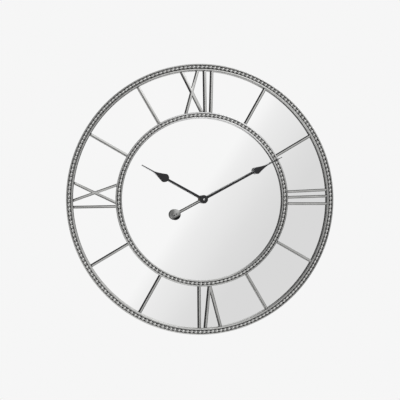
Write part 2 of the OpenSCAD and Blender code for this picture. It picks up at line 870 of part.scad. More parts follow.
module minute_bush() {
    color(brass) upright() difference() {
        union() {
            disc(bush_flange_r, minute_flange_z, weight_z);
            disc(minute_sleeve_r, minute_flange_z, minute_z + hand_t);
        }
        disc(arbor_r, minute_flange_z - 1, minute_z + hand_t + 1);
    }
}

module at_rivets() {
    for (s = [-1, 1]) translate([weight_at + s * rivet_pitch / 2, 0, 0]) children();
}

// Rounded top of the bar, from the minute boss to the disc.
module weight_bar_crown() {
    start = boss_r + crown_gap;
    crown_r = arc_radius(weight_bar_w, weight_crown);
    translate([start, 0, minute_z]) rotate([90, 0, 90]) linear_extrude(weight_at - start)
        intersection() {
            translate([-weight_bar_w / 2, 0]) square([weight_bar_w, weight_crown]);
            translate([0, weight_crown - crown_r]) circle(crown_r);
        }
}

// Bar and domed disc opposite the minute hand.
module counterweight() {
    dome_r = arc_radius(2 * weight_r, weight_dome);
    color(metal) upright() rotate(270 - minute_at) difference() {
        union() {
            disc(boss_r - 1, weight_z, minute_z);
            block(0, weight_at, -weight_bar_w / 2, weight_bar_w / 2, weight_z, minute_z);
            weight_bar_crown();
            translate([weight_at, 0, 0]) disc(weight_r, weight_z, minute_z);
            translate([weight_at, 0, 0]) intersection() {
                disc(weight_r, weight_z, minute_z + weight_dome + 1);
                translate([0, 0, minute_z + weight_dome - dome_r]) sphere(dome_r);
            }
        }
        disc(minute_sleeve_r, weight_z - 1, minute_z + 1);
        at_rivets() disc(rivet_shank_r, weight_z - 1, minute_z + weight_dome + 1);
        at_rivets() disc(rivet_r, rivet_z - rivet_sink, minute_z + weight_dome + 1);
    }
}

module counterweight_rivets() {
    color(dark_metal) upright() rotate(270 - minute_at) at_rivets() {
        disc(rivet_shank_r, weight_z, rivet_z);
        disc(rivet_r, rivet_z - rivet_sink, rivet_z + rivet_proud);
    }
}

module cap_nut() {
    color(metal) upright() difference() {
        union() {
            disc(cap_r, arbor_top, arbor_top + cap_h);
            translate([0, 0, arbor_top + cap_h]) intersection() {
                sphere(cap_r);
                disc(cap_r + 1, 0, cap_r + 1);
            }
        }
        disc(thread_r, arbor_top - 1, thread_top);
    }
}

outer_frame();
frame_skirt();
outer_bead_row();
inner_ring();
inner_bead_row();
hour_mark(12, twelve_strokes);  // numeral_twelve
hour_mark(3, three_strokes);  // numeral_three
hour_mark(6, six_strokes);  // numeral_six
hour_mark(9, nine_strokes);  // numeral_nine
hour_mark(1, baton_strokes);  // baton_one
hour_mark(2, baton_strokes);  // baton_two
hour_mark(4, baton_strokes);  // baton_four
hour_mark(5, baton_strokes);  // baton_five
hour_mark(7, baton_strokes);  // baton_seven
hour_mark(8, baton_strokes);  // baton_eight
hour_mark(10, baton_strokes);  // baton_ten
hour_mark(11, baton_strokes);  // baton_eleven
mirror_glass();
back_board();
board_clips();
clip_screws();
hanger_bracket();
hanger_screws();
movement_case();
movement_cover();
neck_gasket();
neck_washer();
neck_nut();
center_wheel();
hour_wheel();
reverser_wheel();
set_knob();
third_wheel();
second_wheel();
intermediate_wheel();
rotor();
stator();
coil();
circuit_board();
crystal();
battery();
contact_positive();
contact_negative();
hour_hand();
hour_bush();
minute_hand();
minute_bush();
counterweight();
counterweight_rivets();
cap_nut();
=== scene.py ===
"""Looks of a mirror wall clock: beaded silver rings, raised numerals, spade hands, rear fittings.

Everything is in metres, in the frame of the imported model: +X to the right of the dial, +Z up
towards twelve, the front faces -Y, and the wall is the plane y = 0.
"""

import logging
import math
from collections.abc import Callable, Sequence
from dataclasses import dataclass, field
from enum import Enum

import bmesh
import bpy
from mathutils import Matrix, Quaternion, Vector


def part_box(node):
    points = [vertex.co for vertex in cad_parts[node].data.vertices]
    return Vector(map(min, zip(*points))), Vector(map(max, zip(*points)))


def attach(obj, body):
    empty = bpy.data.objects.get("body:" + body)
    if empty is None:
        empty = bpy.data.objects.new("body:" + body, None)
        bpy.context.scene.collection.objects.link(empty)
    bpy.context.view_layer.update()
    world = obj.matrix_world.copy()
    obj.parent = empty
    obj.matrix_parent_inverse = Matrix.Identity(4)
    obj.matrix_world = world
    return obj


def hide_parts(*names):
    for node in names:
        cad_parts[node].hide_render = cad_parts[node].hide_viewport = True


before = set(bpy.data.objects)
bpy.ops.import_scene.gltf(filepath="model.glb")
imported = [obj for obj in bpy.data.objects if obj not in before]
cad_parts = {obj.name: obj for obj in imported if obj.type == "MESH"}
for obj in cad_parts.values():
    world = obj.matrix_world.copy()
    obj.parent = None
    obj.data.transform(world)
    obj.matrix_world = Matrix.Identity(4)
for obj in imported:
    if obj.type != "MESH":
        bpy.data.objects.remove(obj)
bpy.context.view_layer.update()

log = logging.getLogger("mirror_clock")

Piece = bpy.types.Object
Material = bpy.types.Material
Tree = bpy.types.NodeTree
Node = bpy.types.Node
Socket = bpy.types.NodeSocket
Corner = tuple[float, float]
Colour = tuple[float, float, float, float]
Tint = Socket | Colour | str
Tones = tuple[tuple[float, str], ...]

MM = 0.001
# Corners closer than this are one; the seams of turned and copied shells get a little more.
WELD = MM / 1000
SEAM = MM / 100
HOUR_DEGREES = 30
# Edges flatter than the first angle shade smooth, and edges sharper than the second are rounded.
SMOOTH_DEGREES = 40
SHARP_DEGREES = 35
EASE_SEGMENTS = 2
# Copies of CAD meshes: triangles this flat are joined, then edges are rounded and shaded by these.
COPY_FLAT_DEGREES = 0.5
COPY_SHARP_DEGREES = 40
COPY_SMOOTH_DEGREES = 30
# A face of a hand looks forward while its normal lies below this along Y.
FORWARD_Y = -0.3
CLOUD_DETAIL = 3.0
GRAIN_DETAIL = 2.0
# Width of one band of a wave texture of scale 1.
WAVE_BAND = math.tau / 20
# Inputs and output of a node that mixes colours; their names repeat for its other kinds of data.
MIX_SHARE, MIX_FIRST, MIX_SECOND = 0, 6, 7
MIX_RESULT = 2
CLOCK = "clock"
SILVER_SLOT = "antique_silver"


class HandKind(Enum):
    """The two hands, by the body that carries each."""

    HOUR = "hour"
    MINUTE = "minute"


def to_linear(hex_colour: str) -> Colour:
    """Turn an sRGB hex colour into linear RGBA.

    Args:
        hex_colour: a colour such as "#c8c8c6".

    Returns:
        Linear red, green, blue and an alpha of 1.
    """
    channels = [int(hex_colour[i:i + 2], 16) / 255 for i in (1, 3, 5)]
    linear = [c / 12.92 if c <= 0.04045 else ((c + 0.055) / 1.055) ** 2.4 for c in channels]
    return (linear[0], linear[1], linear[2], 1.0)


def add_node(tree: Tree, kind: str | Node, settings: dict | None = None,
             links: dict | None = None) -> Node:
    """Add a shader node with its settings and links, or give them to one that is there.

    Args:
        tree: the tree that gets the node.
        kind: Blender's name for the type of node, or the node that is there.
        settings: values by property name, or by input name or index.
        links: output sockets by input name or index.

    Returns:
        The node.
    """
    node = tree.nodes.new(kind) if isinstance(kind, str) else kind
    for key, value in (settings or {}).items():
        if isinstance(key, str) and hasattr(node, key):
            setattr(node, key, value)
        else:
            node.inputs[key].default_value = value
    for key, socket in (links or {}).items():
        tree.links.new(socket, node.inputs[key])
    return node


def per_metre(size_mm: float) -> float:
    """Scale of a pattern whose features are size_mm across."""
    return 1.0 / (size_mm * MM)


def noise(tree: Tree, place: Socket, size_mm: float, detail: float, twist: float = 0.0) -> Socket:
    """Soft noise from 0 to 1, in patches size_mm across with finer layers, bent by a twist."""
    cloud = add_node(tree, "ShaderNodeTexNoise",
                     {"Scale": per_metre(size_mm), "Detail": detail, "Distortion": twist},
                     {"Vector": place})
    return cloud.outputs["Fac"]


def remap(tree: Tree, value: Socket, start: float, end: float, low: float = 0.0,
          high: float = 1.0) -> Socket:
    """Go from low to high while a value goes from start to end, and stay there outside."""
    node = add_node(tree, "ShaderNodeMapRange",
                    {"From Min": start, "From Max": end, "To Min": low, "To Max": high},
                    {"Value": value})
    return node.outputs[0]


def mix(tree: Tree, share: Socket | float, first: Tint, second: Tint,
        method: str = "MIX") -> Socket:
    """Mix two colours.

    Args:
        tree: the tree of a material or of the world.
        share: share of the second colour, or the socket of it.
        first: a hex colour, a linear colour, or the socket of one.
        second: the same for the other colour.
        method: Blender's name for the way of mixing.

    Returns:
        The socket of the mixed colour.
    """
    inputs = {MIX_SHARE: share, MIX_FIRST: first, MIX_SECOND: second}
    links = {key: value for key, value in inputs.items() if isinstance(value, Socket)}
    values = {key: to_linear(value) if isinstance(value, str) else value
              for key, value in inputs.items() if key not in links}
    node = add_node(tree, "ShaderNodeMix", {"data_type": "RGBA", "blend_type": method, **values},
                    links)
    return node.outputs[MIX_RESULT]


def grade(tree: Tree, value: Socket, tones: Tones) -> Socket:
    """Colour by a value from -1 to 1.

    Args:
        tree: the tree of a material or of the world.
        value: the socket of the value.
        tones: values in rising order, each with its hex colour.

    Returns:
        The colour socket.
    """
    ramp = add_node(tree, "ShaderNodeValToRGB", None, {0: remap(tree, value, -1.0, 1.0)})
    stops = ramp.color_ramp.elements
    stops.remove(stops[1])
    for index, (at, tone) in enumerate(tones):
        stop = stops.new((at + 1) / 2) if index else stops[0]
        stop.position = (at + 1) / 2
        stop.color = to_linear(tone)
    return ramp.outputs["Color"]


def mottle(tree: Tree, place: Socket, size_mm: float, low: str, high: str) -> Socket:
    """Colour that drifts between a darker and a lighter hex colour in patches size_mm across."""
    return mix(tree, noise(tree, place, size_mm, CLOUD_DETAIL), low, high)


def grain(tree: Tree, place: Socket, size_mm: float, height_mm: float) -> Socket:
    """Normal of a surface with a fine relief, its grains size_mm across and height_mm high."""
    relief = add_node(tree, "ShaderNodeBump", {"Strength": 1.0, "Distance": height_mm * MM},
                      {"Height": noise(tree, place, size_mm, GRAIN_DETAIL)})
    return relief.outputs["Normal"]


@dataclass(frozen=True)
class Finish:
    """A procedural surface. Its subclasses wire the shader of a real material."""

    name: str

    def make(self) -> Material:
        """Make the material.

        Returns:
            A new material with a wired Principled shader.
        """
        material = bpy.data.materials.new(self.name)
        material.use_nodes = True
        tree = material.node_tree
        place = add_node(tree, "ShaderNodeTexCoord").outputs["Object"]
        self.wire(tree, tree.nodes["Principled BSDF"], place)
        return material

    def wire(self, tree: Tree, shader: Node, place: Socket) -> None:
        """Wire the shader; every finish has its own way."""
        raise NotImplementedError


# Cast, silver plated, blackened and rubbed back: bright where a cloth reaches and sooty in gaps.
# Painted shade darkens the flanks that face one way, and painted light makes the plate paler at the
# top.
@dataclass(frozen=True)
class AntiqueSilver(Finish):
    """Rubbed plate with matte oxide below a height, painted shade on the flanks to one side,
    painted light at the top.
    """

    bright: str
    oxide_and_shade: str = "#242425"
    # The oxide gives way to plate between these distances from the wall.
    dark_below_mm: float = 0.0
    bright_above_mm: float = 1.0
    # Flanks that face this way are darkened to the oxide tone as painted shade; at these first
    # values none is.
    shaded_side: tuple[float, float, float] = (-0.6, 0.0, 0.8)
    shade_from: float = 1.5
    shade_full: float = 2.0
    # Painted light: the plate turns paler toward the top of the dial; these heights lie past the
    # frame.
    painted_light_tone: str = "#dcdcda"
    painted_light_from_mm: float = 800.0
    painted_light_full_mm: float = 900.0
    patch_mm: float = 9.0
    patch_edges: tuple[float, float] = (0.3, 0.7)
    patch_dim: float = 0.8
    # Sandblast grit under the plate, drawn four times as coarse as it is so that it shows.
    grit_mm: float = 1.2
    grit_height_mm: float = 0.004
    rough_bright: float = 0.2
    rough_oxide: float = 0.7
    oxide_shine: float = 0.1

    def wire(self, tree: Tree, shader: Node, place: Socket) -> None:
        """Mix oxide and bright plate by height and patches, with painted shade by facing and
        painted light by height.

        Args:
            tree: the material's tree.
            shader: its Principled shader.
            place: the coordinates that the pattern follows.
        """
        # Painted shade: flanks that face the shaded side lose their plate and take the dark oxide
        # tone.
        normal = add_node(tree, "ShaderNodeTexCoord").outputs["Normal"]
        facing = add_node(tree, "ShaderNodeVectorMath", {"operation": "DOT_PRODUCT", 1: self.shaded_side},
                          {0: normal})
        unshaded = remap(tree, facing.outputs["Value"], self.shade_full, self.shade_from)
        spot = add_node(tree, "ShaderNodeSeparateXYZ", None, {0: place})
        reached = remap(tree, spot.outputs["Y"], -self.dark_below_mm * MM,
                        -self.bright_above_mm * MM)
        patch = remap(tree, noise(tree, place, self.patch_mm, CLOUD_DETAIL), *self.patch_edges,
                      low=self.patch_dim)
        # The plate shows where there is neither oxide nor painted shade.
        bare = add_node(tree, "ShaderNodeMath", {"operation": "MULTIPLY"},
                        {0: unshaded, 1: reached}).outputs[0]
        plate_share_unshaded = add_node(tree, "ShaderNodeMath", {"operation": "MULTIPLY"},
                        {0: bare, 1: patch}).outputs[0]
        # Painted light: the plate is mixed toward a paler tone higher up the dial.
        height = remap(tree, spot.outputs["Z"], self.painted_light_from_mm * MM, self.painted_light_full_mm * MM)
        plate = mix(tree, height, self.bright, self.painted_light_tone)
        add_node(tree, shader, {"Specular IOR Level": self.oxide_shine},
                 {"Metallic": bare, "Base Color": mix(tree, plate_share_unshaded, self.oxide_and_shade, plate),
                  "Roughness": remap(tree, bare, 0.0, 1.0, self.rough_oxide, self.rough_bright),
                  "Normal": grain(tree, place, self.grit_mm, self.grit_height_mm)})


# Float glass silvered at the back: a clean mirror with the slightest cloudiness in its coat.
@dataclass(frozen=True)
class SilveredGlass(Finish):
    """Mirror glass."""

    name: str = "silvered_float_glass"
    low: str = "#f5f5f5"
    high: str = "#f7f7f7"
    patch_mm: float = 180.0

    def wire(self, tree: Tree, shader: Node, place: Socket) -> None:
        """Set a perfect reflection with faint clouds."""
        add_node(tree, shader, {"Metallic": 1.0, "Roughness": 0.0},
                 {"Base Color": mottle(tree, place, self.patch_mm, self.low, self.high)})


# A metal whose plating or turning leaves soft patches and fine marks.
@dataclass(frozen=True)
class Metal(Finish):
    """Plain metal with patches of tone and fine relief."""

    low: str = "#a9abad"
    high: str = "#c3c5c6"
    patch_mm: float = 6.0
    grain_mm: float = 0.8
    grain_height_mm: float = 0.01
    roughness: float = 0.35

    def wire(self, tree: Tree, shader: Node, place: Socket) -> None:
        """Set the metal's tone, gloss and relief."""
        add_node(tree, shader, {"Metallic": 1.0, "Roughness": self.roughness},
                 {"Base Color": mottle(tree, place, self.patch_mm, self.low, self.high),
                  "Normal": grain(tree, place, self.grain_mm, self.grain_height_mm)})


# Moulded or pressed matter without metal: a spark eroded mould leaves a fine matt grain.
@dataclass(frozen=True)
class Moulding(Finish):
    """Plastic, rubber or laminate."""

    low: str = "#1b1b1c"
    high: str = "#222223"
    patch_mm: float = 25.0
    grain_mm: float = 0.6
    grain_height_mm: float = 0.03
    roughness: float = 0.5

    def wire(self, tree: Tree, shader: Node, place: Socket) -> None:
        """Set the tone, gloss and grain."""
        add_node(tree, shader, {"Roughness": self.roughness},
                 {"Base Color": mottle(tree, place, self.patch_mm, self.low, self.high),
                  "Normal": grain(tree, place, self.grain_mm, self.grain_height_mm)})


# Pressed wood fibre: brown, matt, with short pale and dark fibres lying every way.
@dataclass(frozen=True)
class Fibreboard(Finish):
    """Medium density fibreboard."""

    name: str = "medium_density_fibreboard"
    low: str = "#7c5f41"
    high: str = "#a58660"
    fibre: str = "#5b4430"
    cloud_mm: float = 60.0
    fibre_mm: float = 2.5
    fibre_height_mm: float = 0.08
    fibre_share: float = 0.35
    fibre_edges: tuple[float, float] = (0.52, 0.72)
    fibre_detail: float = 6.0
    fibre_twist: float = 2.5
    roughness: float = 0.8

    def wire(self, tree: Tree, shader: Node, place: Socket) -> None:
        """Scatter fibres over a clouded ground.

        Args:
            tree: the material's tree.
            shader: its Principled shader.
            place: the coordinates that the pattern follows.
        """
        ground = mottle(tree, place, self.cloud_mm, self.low, self.high)
        threads = noise(tree, place, self.fibre_mm, self.fibre_detail, self.fibre_twist)
        dark = remap(tree, threads, *self.fibre_edges, high=self.fibre_share)
        add_node(tree, shader, {"Roughness": self.roughness},
                 {"Base Color": mix(tree, dark, ground, self.fibre),
                  "Normal": grain(tree, place, self.fibre_mm, self.fibre_height_mm)})


# A printed foil shrunk on the can: a dark body and a pale band round the plus end.
@dataclass(frozen=True)
class BatterySleeve(Finish):
    """Sleeve of a dry cell, with its band set along X."""

    name: str = "printed_foil_sleeve"
    body: str = "#41474c"
    band: str = "#c9cbcc"
    band_from_mm: float = 12.0
    fade_mm: float = 0.4
    dent_mm: float = 3.0
    dent_height_mm: float = 0.02
    metallic: float = 0.6
    roughness: float = 0.32

    def wire(self, tree: Tree, shader: Node, place: Socket) -> None:
        """Band the sleeve across its length.

        Args:
            tree: the material's tree.
            shader: its Principled shader.
            place: the coordinates that the pattern follows.
        """
        spot = add_node(tree, "ShaderNodeSeparateXYZ", None, {0: place})
        edge = remap(tree, spot.outputs["X"], self.band_from_mm * MM,
                     (self.band_from_mm + self.fade_mm) * MM)
        add_node(tree, shader, {"Metallic": self.metallic, "Roughness": self.roughness},
                 {"Base Color": mix(tree, edge, self.body, self.band),
                  "Normal": grain(tree, place, self.dent_mm, self.dent_height_mm)})


# Enamelled wire laid turn by turn: glossy copper with a fine line at each turn.
@dataclass(frozen=True)
class WoundCopper(Finish):
    """Coil of enamelled copper wire, wound along X."""

    name: str = "enamelled_copper_wire"
    low: str = "#6d2f14"
    high: str = "#b5622f"
    # The wire is 0.05 mm thick; it is drawn ten times as coarse so that the turns show.
    turn_mm: float = 0.5
    turn_height_mm: float = 0.1
    roughness: float = 0.3

    def wire(self, tree: Tree, shader: Node, place: Socket) -> None:
        """Draw the turns as bands along X.

        Args:
            tree: the material's tree.
            shader: its Principled shader.
            place: the coordinates that the pattern follows.
        """
        bands = add_node(tree, "ShaderNodeTexWave",
                         {"bands_direction": "X", "Scale": WAVE_BAND * per_metre(self.turn_mm)},
                         {"Vector": place}).outputs["Fac"]
        relief = add_node(tree, "ShaderNodeBump", {"Distance": self.turn_height_mm * MM},
                          {"Height": bands})
        add_node(tree, shader, {"Metallic": 1.0, "Roughness": self.roughness},
                 {"Base Color": mix(tree, bands, self.low, self.high),
                  "Normal": relief.outputs["Normal"]})


def start_fresh() -> None:
    """Leave edit mode and deselect every object."""
    if bpy.context.object is not None and bpy.context.object.mode != "OBJECT":
        bpy.ops.object.mode_set(mode="OBJECT")
    bpy.ops.object.select_all(action="DESELECT")


def take_up(piece: Piece) -> None:
    """Make one object the only selected and active one.

    Args:
        piece: the object.
    """
    start_fresh()
    bpy.context.view_layer.objects.active = piece
    piece.select_set(True)


def enter_edit(piece: Piece) -> None:
    """Open an object in edit mode with all of it selected.

    Args:
        piece: the object.
    """
    take_up(piece)
    bpy.ops.object.mode_set(mode="EDIT")
    bpy.ops.mesh.select_all(action="SELECT")


def pick(piece: Piece, test: Callable[[Vector], bool]) -> None:
    """Select, in edit mode, the vertices whose place passes a test.

    Args:
        piece: the object in edit mode.
        test: says if a vertex is picked.
    """
    bpy.ops.mesh.select_all(action="DESELECT")
    mesh = bmesh.from_edit_mesh(piece.data)
    for vert in mesh.verts:
        vert.select_set(test(vert.co))
    mesh.select_flush_mode()
    bmesh.update_edit_mesh(piece.data)


def trace(name: str, points: Sequence[Vector]) -> Piece:
    """Draw a chain of edges by extruding a vertex from point to point.

    Args:
        name: name of the new object.
        points: the corners of the chain; a closed chain ends where it starts.

    Returns:
        The new object, in edit mode with the chain selected.
    """
    start_fresh()
    bpy.ops.mesh.primitive_plane_add(size=MM, location=points[0])
    piece = bpy.context.active_object
    piece.name = name
    bpy.ops.object.transform_apply(location=True, rotation=True, scale=True)
    bpy.ops.object.mode_set(mode="EDIT")
    bpy.ops.mesh.select_mode(type="VERT")
    bpy.ops.mesh.select_all(action="SELECT")
    bpy.ops.mesh.merge(type="CENTER")
    for start, end in zip(points, points[1:]):
        bpy.ops.mesh.extrude_vertices_move(TRANSFORM_OT_translate={"value": end - start})
    bpy.ops.mesh.select_all(action="SELECT")
    bpy.ops.mesh.remove_doubles(threshold=WELD)
    return piece


def lathe(name: str, profile: Sequence[Corner], steps: int) -> Piece:
    """Spin a profile round the dial axis.

    Args:
        name: name of the new object.
        profile: radius and height above the wall of each corner.
        steps: number of segments round the axis.

    Returns:
        The turned piece, closed and with its normals outwards.
    """
    piece = trace(name, [Vector((radius, -height, 0.0)) for radius, height in profile])
    bpy.ops.mesh.spin(steps=steps, angle=math.tau, center=(0, 0, 0), axis=(0, 1, 0))
    close_seams()
    return piece


def close_seams() -> None:
    """Merge doubles, turn the normals outwards and leave edit mode."""
    bpy.ops.mesh.select_all(action="SELECT")
    bpy.ops.mesh.remove_doubles(threshold=SEAM)
    bpy.ops.mesh.normals_make_consistent(inside=False)
    bpy.ops.object.mode_set(mode="OBJECT")


def arc(centre: Corner, radius: float, start: float, end: float, count: int) -> list[Corner]:
    """Points along an arc, both ends included.

    Args:
        centre: the middle of the arc.
        radius: its radius.
        start: angle of the first point in degrees.
        end: angle of the last point in degrees.
        count: number of steps.

    Returns:
        The points as pairs.
    """
    angles = [math.radians(start + (end - start) * i / count) for i in range(count + 1)]
    return [(centre[0] + radius * math.cos(a), centre[1] + radius * math.sin(a)) for a in angles]


def modify(piece: Piece, kind: str, **settings: object) -> None:
    """Add a modifier and apply it.

    Args:
        piece: the object to change.
        kind: Blender's name for the type of modifier.
        **settings: the modifier's properties.
    """
    modifier = piece.modifiers.new(kind.lower(), kind)
    for key, value in settings.items():
        setattr(modifier, key, value)
    take_up(piece)
    bpy.ops.object.modifier_apply(modifier=modifier.name)


def smooth(piece: Piece, degrees: float = SMOOTH_DEGREES) -> None:
    """Shade a piece smooth across edges flatter than an angle."""
    take_up(piece)
    bpy.ops.object.shade_smooth_by_angle(angle=math.radians(degrees))


def ease(piece: Piece, width_mm: float, degrees: float = SHARP_DEGREES) -> None:
    """Round the edges of a piece that are sharper than an angle."""
    modify(piece, "BEVEL", width=width_mm * MM, segments=EASE_SEGMENTS, limit_method="ANGLE",
           angle_limit=math.radians(degrees), use_clamp_overlap=True)


def unite(first: Piece, second: Piece) -> None:
    """Fuse the second piece into the first."""
    modify(first, "BOOLEAN", operation="UNION", solver="EXACT", object=second)
    bpy.data.objects.remove(second)


def eased_copy(node: str, name: str, width_mm: float) -> Piece:
    """Copy a node's mesh, join its triangles and break its sharp edges.

    Args:
        node: name of the CAD node.
        name: name of the new piece.
        width_mm: width of the broken edge.

    Returns:
        The new piece.
    """
    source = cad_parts[node]
    piece = bpy.data.objects.new(name, source.data.copy())
    bpy.context.scene.collection.objects.link(piece)
    enter_edit(piece)
    bpy.ops.mesh.customdata_custom_splitnormals_clear()
    bpy.ops.mesh.remove_doubles(threshold=WELD)
    bpy.ops.mesh.dissolve_limited(angle_limit=math.radians(COPY_FLAT_DEGREES))
    bpy.ops.object.mode_set(mode="OBJECT")
    ease(piece, width_mm, COPY_SHARP_DEGREES)
    smooth(piece, COPY_SMOOTH_DEGREES)
    return piece


def settle(piece: Piece, body: str, slot: str, material: Material, *nodes: str) -> None:
    """Finish a piece: its material, body and the nodes that it stands for.

    Args:
        piece: the finished mesh.
        body: the CAD body that it rides on.
        slot: the record's material slot; not used.
        material: its surface.
        *nodes: the CAD nodes that it replaces.
    """
    piece.data.materials.clear()
    piece.data.materials.append(material)
    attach(piece, body)
    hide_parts(*nodes)
    log.info("%s: %d faces on %s", piece.name, len(piece.data.polygons), body)


def face_back(piece: Piece, material: Material) -> None:
    """Give the faces that look at the wall, and the cut edges, a second material.

    Args:
        piece: the finished hand.
        material: the surface of its back.
    """
    piece.data.materials.append(material)
    for face in piece.data.polygons:
        if face.normal.y > FORWARD_Y:
            face.material_index = len(piece.data.materials) - 1


def dress(material: Material, *nodes: str) -> None:
    """Give CAD nodes a material.

    Args:
        material: the surface.
        *nodes: names of the nodes.
    """
    for name in nodes:
        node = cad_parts[name]
        if not node.material_slots:
            node.data.materials.append(material)
        for place in node.material_slots:
            place.material = material
        log.info("%s: %s", name, material.name)


@dataclass
class BeadedRing:
    """A half round lipped moulding with a row of beads in its channel."""

    name: str
    node: str
    bead_node: str
    width: float
    outer_lip: float
    beads: int
    bead_r: float = 4.4 * MM
    channel: float = 9.5 * MM
    channel_depth: float = 4.5 * MM
    strip_t: float = 0.8 * MM
    strip_half: float = 4.5 * MM
    steps: int = 288
    lip_steps: int = 10
    ridge_steps: int = 6
    bead_segments: int = 12
    bead_rings: int = 8
    bead_stretch: float = 1.38
    bead_foot_mm: float = 2.8
    ridge_r: float = 1.8 * MM
    # Painted light: the lips turn paler between these heights; the defaults lie past the frame.
    painted_light_from_mm: float = AntiqueSilver.painted_light_from_mm
    painted_light_full_mm: float = AntiqueSilver.painted_light_full_mm
    outer_r: float = field(init=False)
    base: float = field(init=False)
    crest: float = field(init=False)

    def __post_init__(self) -> None:
        """Read the ring's radius and heights from its node."""
        low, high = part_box(self.node)
        self.outer_r = high.x
        self.base = -high.y
        self.crest = -low.y

    @property
    def row_r(self) -> float:
        """Radius of the circle that the beads stand on."""
        return self.outer_r - self.outer_lip - self.channel / 2

    @property
    def floor(self) -> float:
        """Height of the channel floor above the wall."""
        return self.crest - self.channel_depth

    def profile(self) -> list[Corner]:
        """Section of the moulding, from its inner foot round to the start.

        Returns:
            Radius and height of each corner.
        """
        inner_r = self.outer_r - self.width
        inner_lip = self.row_r - self.channel / 2 - inner_r
        points = [(inner_r, self.base)]
        for start, lip in ((inner_r, inner_lip), (self.outer_r - self.outer_lip, self.outer_lip)):
            half = lip / 2
            points.append((start, self.floor))
            points += arc((start + half, self.crest - half), half, 180, 0, self.lip_steps)
            points.append((start + lip, self.floor))
        points[-1] = (self.outer_r, self.floor)
        points.append((self.outer_r, self.base))
        points.append(points[0])
        return points

    def build_moulding(self) -> Piece:
        """Turn the moulding.

        Returns:
            The ring as one piece.
        """
        ring = lathe(f"{self.name}_moulding", self.profile(), self.steps)
        smooth(ring)
        return ring

    def build_beads(self) -> Piece:
        """Model one bead, copy it round the ring and set the row on its strip.

        Returns:
            The bead row as one piece.
        """
        seat = self.floor + self.strip_t / 2
        start_fresh()
        bpy.ops.mesh.primitive_uv_sphere_add(
            segments=self.bead_segments, ring_count=self.bead_rings, radius=self.bead_r,
            location=(self.row_r, -seat, 0), rotation=(math.pi / 2, 0, 0))
        row = bpy.context.active_object
        row.name = f"{self.name}_beads"
        bpy.ops.object.transform_apply(location=True, rotation=True, scale=True)
        bpy.ops.object.mode_set(mode="EDIT")
        bpy.ops.mesh.select_all(action="SELECT")
        bpy.ops.mesh.bisect(plane_co=(0, -seat, 0), plane_no=(0, 1, 0), clear_outer=True)
        bpy.ops.mesh.select_all(action="SELECT")
        bpy.ops.transform.resize(value=(1, 1, self.bead_stretch),
                                 center_override=(self.row_r, -seat, 0))
        bpy.ops.mesh.select_all(action="SELECT")
        bpy.ops.mesh.spin(steps=self.beads, angle=math.tau, center=(0, 0, 0), axis=(0, 1, 0),
                          dupli=True)
        close_seams()
        inner, outer = self.row_r - self.strip_half, self.row_r + self.strip_half
        top = self.floor + self.strip_t
        ridge = arc((self.row_r, top), self.ridge_r, 180, 0, self.ridge_steps)
        strip = lathe("strip", [(inner, self.floor), (inner, top), *ridge, (outer, top),
                                (outer, self.floor), (inner, self.floor)], self.steps)
        take_up(row)
        strip.select_set(True)
        bpy.ops.object.join()
        smooth(row)
        return row

    def dress(self, moulding: Piece, row: Piece) -> None:
        """Plate both pieces and let them stand for their nodes.

        Args:
            moulding: the ring.
            row: its beads.
        """
        dark = (self.floor + self.strip_t) / MM
        # The lips are painted paler between the ring's painted light heights, as painted light.
        lip_plate = AntiqueSilver(name=f"antique_silver_{self.name}", bright="#d4d4d2",
                                  painted_light_tone="#ffffff", painted_light_from_mm=self.painted_light_from_mm,
                                  painted_light_full_mm=self.painted_light_full_mm, rough_bright=0.22)
        bead_plate = AntiqueSilver(name=f"antique_silver_{self.name}_beads", dark_below_mm=dark,
                                   bright_above_mm=dark + self.bead_foot_mm, bright="#f2f2f0",
                                   oxide_and_shade="#333334")
        settle(moulding, CLOCK, SILVER_SLOT, lip_plate.make(), self.node)
        settle(row, CLOCK, SILVER_SLOT, bead_plate.make(), self.bead_node)


@dataclass
class FrameSkirt:
    """The rolled band behind the frame, with its hem."""

    wall: float = 2.0 * MM
    hem_w: float = 4.0 * MM
    hem_h: float = 3.0 * MM
    edge: float = 0.4 * MM
    edge_steps: int = 4
    steps: int = 288

    def build(self) -> Piece:
        """Turn the band.

        Returns:
            The band as one piece.
        """
        low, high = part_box("frame_skirt")
        radius, top = high.x, -low.y
        inside, hem = radius - self.wall, radius - self.hem_w
        points = [(inside, top), (radius, top)]
        points += arc((radius - self.edge, self.edge), self.edge, 0, -90, self.edge_steps)
        points += arc((hem + self.edge, self.edge), self.edge, 270, 180, self.edge_steps)
        points += [(hem, self.hem_h), (inside, self.hem_h), (inside, top)]
        return lathe("frame_band", points, self.steps)

    def dress(self, band: Piece) -> None:
        """Plate the band like the frame, a little duller.

        Args:
            band: the turned band.
        """
        smooth(band)
        plate = Metal("silver_plated_band", low="#9a9a99", high="#adadab", patch_mm=18.0,
                      roughness=0.36)
        settle(band, CLOCK, SILVER_SLOT, plate.make(), "frame_skirt")


@dataclass(frozen=True)
class HourMark:
    """One numeral or baton, as strokes given by their inner and outer offset in millimetres."""

    node: str
    hour: int
    strokes: tuple[tuple[float, float], ...] = ((0.0, 0.0),)


